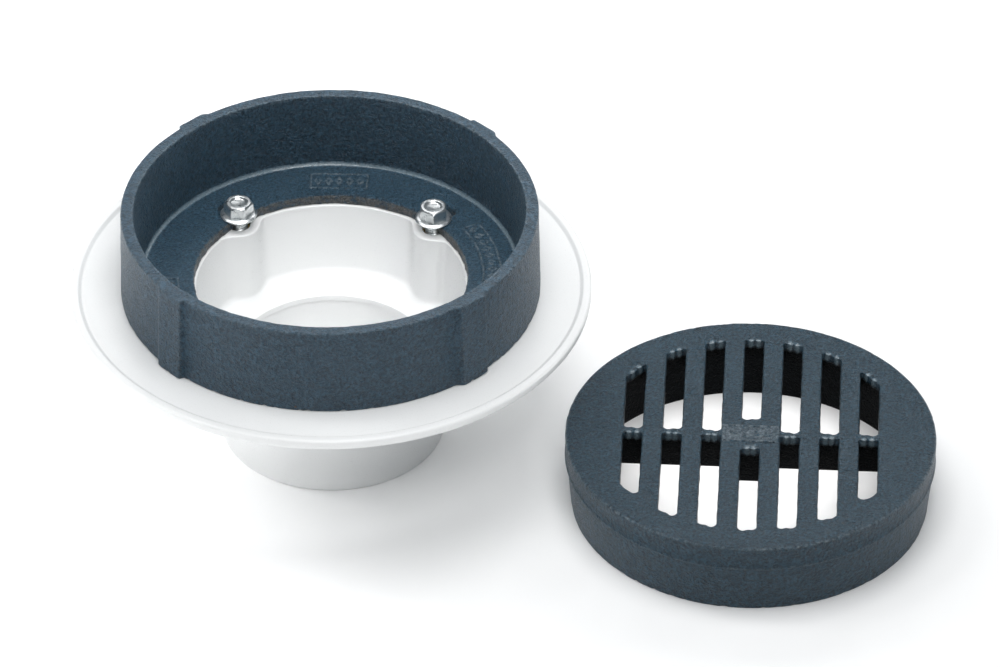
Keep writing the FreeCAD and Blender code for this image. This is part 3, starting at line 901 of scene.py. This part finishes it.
def make_bolt(place):
    """Indented hex washer head on a threaded shank, drawn as one turned piece."""
    flats = 14.3
    pitch = 25.4 / 16
    length = 31.75
    shank = 4.76
    root = 4.05
    head = [
        (4.8, 0, 0), (9.6, 0, 0.3), (10.2, 0.55, 0.35), (10.2, 1.0, 0.35), (8.6, 1.95, 0.9),
        (8.35, 2.2, 0), (8.35, 7.6, 0), (6.55, 9.0, 0.55), (5.0, 9.0, 0.8), (4.0, 7.9, 1.4),
        (1.4, 7.5, 0), (0.5, 7.45, 0),
    ]
    above = rounded(head, steps=4, longest=1.1)
    rows = int(length / (pitch / 12))
    below = np.column_stack([np.full(rows, shank), np.linspace(-length, -0.15, rows)])
    tip = np.array([[1.0, -length], [2.5, -length]])
    section = np.concatenate([tip, below, above])
    corners = [(60 * k, 4, 1.25) for k in range(6)]
    angles = spread_angles(5.0, corners + [(60 * k + 30, 2, 2.5) for k in range(6)])
    radius, height = swept(section, angles)

    # six flats on the rows of the head above the washer
    sector = (angles + math.pi / 6) % (math.pi / 3) - math.pi / 6
    face = (flats / 2) / np.cos(np.pi / 6 - np.abs(sector))
    hex_rows = (height > 1.9) & (radius > 6.0)
    radius = np.where(hex_rows, smooth_min(radius, face, 0.35), radius)

    # thread: a sharp helix on the shank that fades out under the head and at the tip
    threads = slice(len(tip), len(tip) + rows)
    phase = (height[threads] / pitch - angles / TURN) % 1.0
    crest = np.clip((1 - np.abs(2 * phase - 1)) * 1.35 - 0.12, 0, 1)
    from_tip = height[threads] + length
    fade = np.clip(from_tip / 1.6, 0, 1) * np.clip(-(height[threads] + 1.6) / 1.2, 0, 1)
    taper = 0.75 * np.clip(1 - from_tip / 1.2, 0, 1)
    radius[threads] = shank - (shank - root) * (1 - crest) * fade - taper
    spot = at_bolt(place, SHELF_TOP, BOLT_TURNS[place])
    piece = lathe("bolt_part_" + place, radius, height, angles, spot, capped=True)
    shade(piece, 32)
    return piece


def make_insert(place):
    """Brass insert with two diamond-knurled bands and a plain groove between them."""
    bore, band, groove = 4.85, 6.3, 5.8
    outside = rounded(
        [
            (bore, -INSERT_LENGTH, 0.3), (band, -INSERT_LENGTH, 0.4), (band, -10.8, 0.2),
            (groove, -10.4, 0.2), (groove, -8.6, 0.2), (band, -8.2, 0.2), (band, 0, 0.4),
            (bore, 0, 0.4),
        ],
        steps=3, longest=0.5, closed=True,
    )
    angles = spread_angles(3.0, [])
    radius, height = swept(outside, angles)
    turns = angles * 20
    climb = height * 1.9
    ridges = np.maximum(np.abs(np.sin((turns + climb) / 2)), np.abs(np.sin((turns - climb) / 2)))
    knurled = (radius > band - 0.05) & (height < -0.9) & (height > 0.9 - INSERT_LENGTH)
    radius = radius - np.where(knurled, 0.28 * (1 - ridges), 0)
    spot = at_bolt(place, DECK - INSERT_RECESS)
    piece = lathe("insert_part_" + place, radius, height, angles, spot)
    shade(piece, 35)
    return piece


# ---- materials


class Paint:
    """A new material, and short ways to add and join its nodes.

    Scales are lumps per metre. Values and colours are passed on as node outputs.
    """

    def __init__(self, name):
        self.material = bpy.data.materials.new(name)
        self.material.use_nodes = True
        self.tree = self.material.node_tree
        self.shader = self.tree.nodes["Principled BSDF"].inputs

    def add(self, kind, **settings):
        node = self.tree.nodes.new(kind)
        for key, value in settings.items():
            if hasattr(node, key):
                setattr(node, key, value)
            else:
                node.inputs[key.replace("_", " ")].default_value = value
        return node

    def link(self, source, target):
        self.tree.links.new(source, target)

    def fix(self, socket, value):
        """A value that is the same all over, on the shader's own socket."""
        self.shader[socket].default_value = value

    def texture(self, kind, **settings):
        """A texture in the object's own space."""
        node = self.add(kind, **settings)
        self.link(self.add("ShaderNodeTexCoord").outputs["Object"], node.inputs["Vector"])
        return node

    def grain(self, scale, detail=3.0, roughness=0.55):
        return self.texture(
            "ShaderNodeTexNoise", Scale=scale, Detail=detail, Roughness=roughness
        ).outputs["Fac"]

    def attribute(self, name):
        return self.add("ShaderNodeAttribute", attribute_name=name).outputs["Fac"]

    def blend(self, low, high, factor, stops=(0.35, 0.65)):
        """A colour between low and high, driven by a factor."""
        steps = self.add("ShaderNodeValToRGB")
        for element, stop, colour in zip(steps.color_ramp.elements, stops, (low, high)):
            element.position = stop
            element.color = (*colour, 1)
        self.link(factor, steps.inputs["Fac"])
        return steps.outputs["Color"]

    def mix(self, factor, a, b):
        """Two colours mixed by a factor."""
        node = self.add("ShaderNodeMix", data_type="RGBA")
        self.link(factor, node.inputs[0])
        self.link(a, node.inputs[6])
        self.link(b, node.inputs[7])
        return node.outputs[2]

    def level(self, value, low, high, to_low=0.0, to_high=1.0):
        """A value moved from one range to another, and kept inside it."""
        node = self.add(
            "ShaderNodeMapRange", From_Min=low, From_Max=high, To_Min=to_low, To_Max=to_high
        )
        self.link(value, node.inputs["Value"])
        return node.outputs["Result"]

    def multiply(self, a, b):
        node = self.add("ShaderNodeMath", operation="MULTIPLY")
        self.link(a, node.inputs[0])
        self.link(b, node.inputs[1])
        return node.outputs[0]

    def bumps(self, layers, flatten=None):
        """Join a chain of bumps, each (height, distance in metres, strength), to the shader.

        Where the flatten output is 1, the bumps are nearly gone.
        """
        normal = None
        for height, distance, strength in layers:
            node = self.add("ShaderNodeBump", Distance=distance, Strength=strength)
            self.link(height, node.inputs["Height"])
            if flatten is not None:
                weaker = self.level(flatten, 0, 1, strength, 0.1 * strength)
                self.link(weaker, node.inputs["Strength"])
            if normal is not None:
                self.link(normal, node.inputs["Normal"])
            normal = node.outputs["Normal"]
        self.link(normal, self.shader["Normal"])


def coated_iron(name, dark, light, contrast):
    """Dipped blue-grey coating over rough cast iron, brightened on its edges partly by wear and
    partly as a painted highlight.

    Its hollows are darker than the colours given and its peaks lighter, by the contrast: partly
    real mottling, partly painted shade in the hollows and painted highlight on the peaks.
    """
    paint = Paint(name)
    fine = paint.grain(1150, 3, 0.6)
    pebble = paint.grain(600, 3, 0.6)
    peel = paint.grain(190, 2, 0.5)
    colour = paint.blend(dark, light, paint.grain(38, 3))
    # painted shade and highlight: where the pebble bumps dip the colour is darker, where they rise
    # it is lighter, over some real mottling
    deep = [c / contrast for c in dark]
    pale = [c * contrast for c in light]
    speckle_and_painted_shade = paint.blend(deep, pale, pebble, (0.36, 0.64))
    colour = paint.mix(paint.level(peel, 0.35, 0.6, 0.5, 1.0), colour, speckle_and_painted_shade)

    def masked(attribute, low, high, scale):
        patches = paint.level(paint.grain(scale, 4, 0.65), low, high)
        return paint.multiply(paint.attribute(attribute), patches)

    # lighter on rubbed edges, pad reliefs and the grate's plate: partly wear, partly painted
    # highlight
    bare = paint.blend((0.08, 0.12, 0.15), (0.26, 0.32, 0.36), fine)
    colour = paint.mix(masked("wear_and_painted_highlight", 0.40, 0.66, 420), colour, bare)
    iron = paint.blend((0.055, 0.062, 0.063), (0.20, 0.205, 0.20), fine)
    colour = paint.mix(masked("raw_iron", 0.36, 0.52, 240), colour, iron)
    # painted shade: under the grate's deck the colour is near black
    inside = paint.attribute("inside")
    painted_shade_colour = paint.blend((0.002, 0.003, 0.004), (0.006, 0.009, 0.011), pebble)
    colour = paint.mix(inside, colour, painted_shade_colour)

    # a few tiny rust-brown pits, where the coating has missed
    pits = paint.texture("ShaderNodeTexVoronoi", Scale=95, feature="F1").outputs["Distance"]
    rare = paint.level(paint.grain(60, 2), 0.60, 0.66)
    spots = paint.multiply(paint.level(pits, 0.05, 0.09, 1.0, 0.0), rare)
    rust = paint.blend((0.05, 0.028, 0.016), (0.16, 0.09, 0.05), fine)
    colour = paint.mix(spots, colour, rust)
    # painted highlight: the fillet and the paint runs are coloured paler; they are also smoother,
    # with the bumps nearly gone
    gloss_and_painted_highlight = paint.attribute("gloss_and_painted_highlight")
    painted_highlight_colour = paint.blend((0.10, 0.14, 0.16), (0.22, 0.27, 0.30), fine)
    colour = paint.mix(paint.level(gloss_and_painted_highlight, 0, 1, 0, 0.7), colour, painted_highlight_colour)
    paint.link(colour, paint.shader["Base Color"])

    smooth = paint.add("ShaderNodeMix", data_type="FLOAT")
    paint.link(gloss_and_painted_highlight, smooth.inputs[0])
    paint.link(paint.level(fine, 0.3, 0.7, 0.27, 0.42), smooth.inputs[2])
    smooth.inputs[3].default_value = 0.2
    paint.link(smooth.outputs[0], paint.shader["Roughness"])
    # the painted shade under the grate's deck also gets a low specular level
    paint.link(paint.level(inside, 0, 1, 0.5, 0.05), paint.shader["Specular IOR Level"])
    paint.bumps([(peel, 0.003, 0.7), (pebble, 0.0036, 0.9), (fine, 0.0018, 1.0)], gloss_and_painted_highlight)
    return paint.material


def white_pvc():
    """Satin moulded PVC: faint mottling and the slightest flow waviness."""
    paint = Paint("white_pvc")
    broad = paint.grain(18, 2)
    fine = paint.grain(1400, 3)
    colour = paint.blend((0.855, 0.862, 0.86), (0.88, 0.886, 0.885), broad)
    paint.link(colour, paint.shader["Base Color"])
    paint.link(paint.level(fine, 0.3, 0.7, 0.26, 0.36), paint.shader["Roughness"])
    paint.fix("Subsurface Weight", 0.06)
    paint.fix("Subsurface Radius", (0.004, 0.004, 0.004))
    paint.fix("Subsurface Scale", 1.0)
    paint.bumps([(broad, 0.0006, 0.12), (fine, 0.0001, 0.2)])
    return paint.material


def bare_metal(paint, dark, light, mottled, dull):
    """Give a metal its mottled colour and roughness."""
    paint.link(paint.blend(dark, light, mottled), paint.shader["Base Color"])
    paint.fix("Metallic", 1.0)
    paint.link(paint.level(mottled, 0.3, 0.7, *dull), paint.shader["Roughness"])


def zinc_plate():
    """Bright zinc plating with faint mottling and fine handling scratches."""
    paint = Paint("zinc_plate")
    bare_metal(paint, (0.74, 0.77, 0.78), (0.90, 0.92, 0.92), paint.grain(420, 4), (0.26, 0.36))
    scratch = paint.add("ShaderNodeTexNoise", Scale=900, Detail=2)
    stretch = paint.texture("ShaderNodeMapping", Scale=(1, 0.15, 0.6))
    paint.link(stretch.outputs["Vector"], scratch.inputs["Vector"])
    paint.bumps([(scratch.outputs["Fac"], 0.00003, 0.2)])
    return paint.material


def turned_brass():
    """Turned brass, faintly mottled."""
    paint = Paint("turned_brass")
    mottled = paint.grain(500, 3)
    bare_metal(paint, (0.62, 0.44, 0.17), (0.78, 0.60, 0.28), mottled, (0.24, 0.4))
    paint.bumps([(mottled, 0.0001, 0.2)])
    return paint.material


def floor_paper():
    """Plain pale studio floor with the faintest tooth, glowing a little so that it stays white."""
    paint = Paint("floor_paper")
    tooth = paint.grain(60, 2)
    colour = paint.blend((0.93, 0.93, 0.93), (0.945, 0.945, 0.945), tooth)
    paint.link(colour, paint.shader["Base Color"])
    paint.fix("Roughness", 0.9)
    paint.fix("Specular IOR Level", 0.1)
    paint.fix("Emission Color", (1, 1, 1, 1))
    paint.fix("Emission Strength", 0.07)
    return paint.material


# ---- floor, lights, camera


def make_stage(material):
    """A large plain floor, a hair below the level that the drain and grate stand on."""
    half = 4000.0
    ticks = np.linspace(-half, half, 9)
    x, y = np.meshgrid(ticks, ticks)
    vertices = np.stack([x, y, 0 * x - 0.02], -1).reshape(-1, 3)
    floor = mesh_object("floor", vertices, grid_quads(9, 9, 8, 8))
    floor.data.materials.append(material)


def add_softbox(name, where, target, size, power, *only):
    """A rectangular area light aimed at a target; it lights just the objects named, or all."""
    light = bpy.data.lights.new(name, "AREA")
    light.shape = "RECTANGLE"
    light.size, light.size_y = size
    light.energy = power
    lamp = bpy.data.objects.new(name, light)
    lamp.location = where
    lamp.rotation_euler = (Vector(target) - Vector(where)).to_track_quat("-Z", "Y").to_euler()
    bpy.context.scene.collection.objects.link(lamp)
    if only:
        lit = bpy.data.collections.new("lit_by_" + name)
        for piece in only:
            lit.objects.link(bpy.data.objects[piece])
        lamp.light_linking.receiver_collection = lit
    return light


def make_lights():
    """A bright overhead softbox, side cards, and a low bluish surround.

    Some light only what they name: the floor, white in the grate's slots and to the left of the
    drain as in the photograph, the white bowl, a sheen on the iron, and the shelf in the ring.
    """
    world = bpy.data.worlds.new("studio")
    world.use_nodes = True
    sky = world.node_tree.nodes["Background"].inputs
    sky["Color"].default_value = (0.78, 0.91, 1.0, 1)
    sky["Strength"].default_value = 0.10
    bpy.context.scene.world = world
    middle = (0.08, -0.02, 0.05)
    add_softbox("overhead", (0.1, -0.1, 1.6), middle, (0.9, 0.9), 13.5)
    add_softbox("key", (-0.7, 0.25, 1.5), middle, (0.4, 0.4), 3)
    add_softbox("front_high", (0.35, -1.2, 1.6), middle, (0.6, 0.6), 8.5)
    add_softbox("left_card", (-1.5, -0.25, 0.30), middle, (1.4, 0.5), 9.5)
    add_softbox("right_card", (1.6, 0.1, 0.22), middle, (1.2, 0.35), 6)
    add_softbox("back_card", (0.1, 1.1, 0.95), middle, (1.8, 0.6), 8)
    in_bowl = (0, 0.03, 0.08)
    bowl = add_softbox("bowl", (0, -0.75, 0.75), in_bowl, (0.1, 0.1), 0.025, "drain_moulding")
    bowl.spread = math.radians(14)
    iron = ("grate_casting", "grate_plate", "ring_casting")
    add_softbox("sheen", (0.15, 0.48, 0.34), (0.15, 0.06, 0.06), (0.9, 0.2), 1.8, *iron)
    add_softbox("ring_top", (0.1, -0.1, 1.4), (0, 0, 0.1), (0.3, 0.3), 5, "ring_casting")
    left = (-0.05, -0.2, 0)
    add_softbox("floor_left", (-0.75, 0.25, 0.5), left, (0.25, 0.25), 5, "floor")
    spot = Vector((GRATE_CENTRE.x, GRATE_CENTRE.y + 0.028, 0))
    above = spot + Vector((0, 0, 0.0195))
    disk = add_softbox("under_grate", above, spot, (0.13, 0.13), 0.043, "floor")
    disk.shape = "DISK"


def make_camera():
    """Long lens looking down from the front, level with the horizon."""
    camera = bpy.data.cameras.new("camera")
    camera.lens = 252.0
    camera.sensor_width = 36.0
    camera.clip_end = 20
    holder = bpy.data.objects.new("camera", camera)
    holder.location = (0.0923, -3.0722, 2.3682)
    holder.rotation_euler = (math.radians(90 - 36.9), 0, 0)
    bpy.context.scene.collection.objects.link(holder)
    bpy.context.scene.camera = holder


# ---- put it together


def finish_piece(piece, body, slot, material, *nodes):
    """Give a piece its material and say which body carries it and which nodes it stands for."""
    piece.data.materials.clear()
    piece.data.materials.append(material)
    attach(piece, body)
    if nodes:
        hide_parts(*nodes)


ring_iron = coated_iron("ring_iron", (0.023, 0.059, 0.094), (0.036, 0.083, 0.126), 1.55)
grate_iron = coated_iron("grate_iron", (0.014, 0.041, 0.066), (0.022, 0.057, 0.086), 1.9)
finish_piece(make_drain_body(), "drain", "pvc", white_pvc(), "drain_body")
finish_piece(make_clamp_ring(), "ring", "ring_iron", ring_iron, "clamp_ring")
finish_piece(make_grate(), "loose_grate", "grate_iron", grate_iron, "grate")
finish_piece(make_grate_plate(), "loose_grate", "grate_iron", grate_iron)
zinc = zinc_plate()
brass = turned_brass()
for place in BOLT_ANGLES:
    finish_piece(make_bolt(place), "bolt_" + place, "zinc_steel", zinc, "bolt_" + place)
    finish_piece(make_insert(place), "drain", "brass", brass, "insert_" + place)

make_stage(floor_paper())
make_lights()
make_camera()
bpy.context.scene.view_settings.view_transform = "Standard"
bpy.context.scene.view_settings.look = "None"
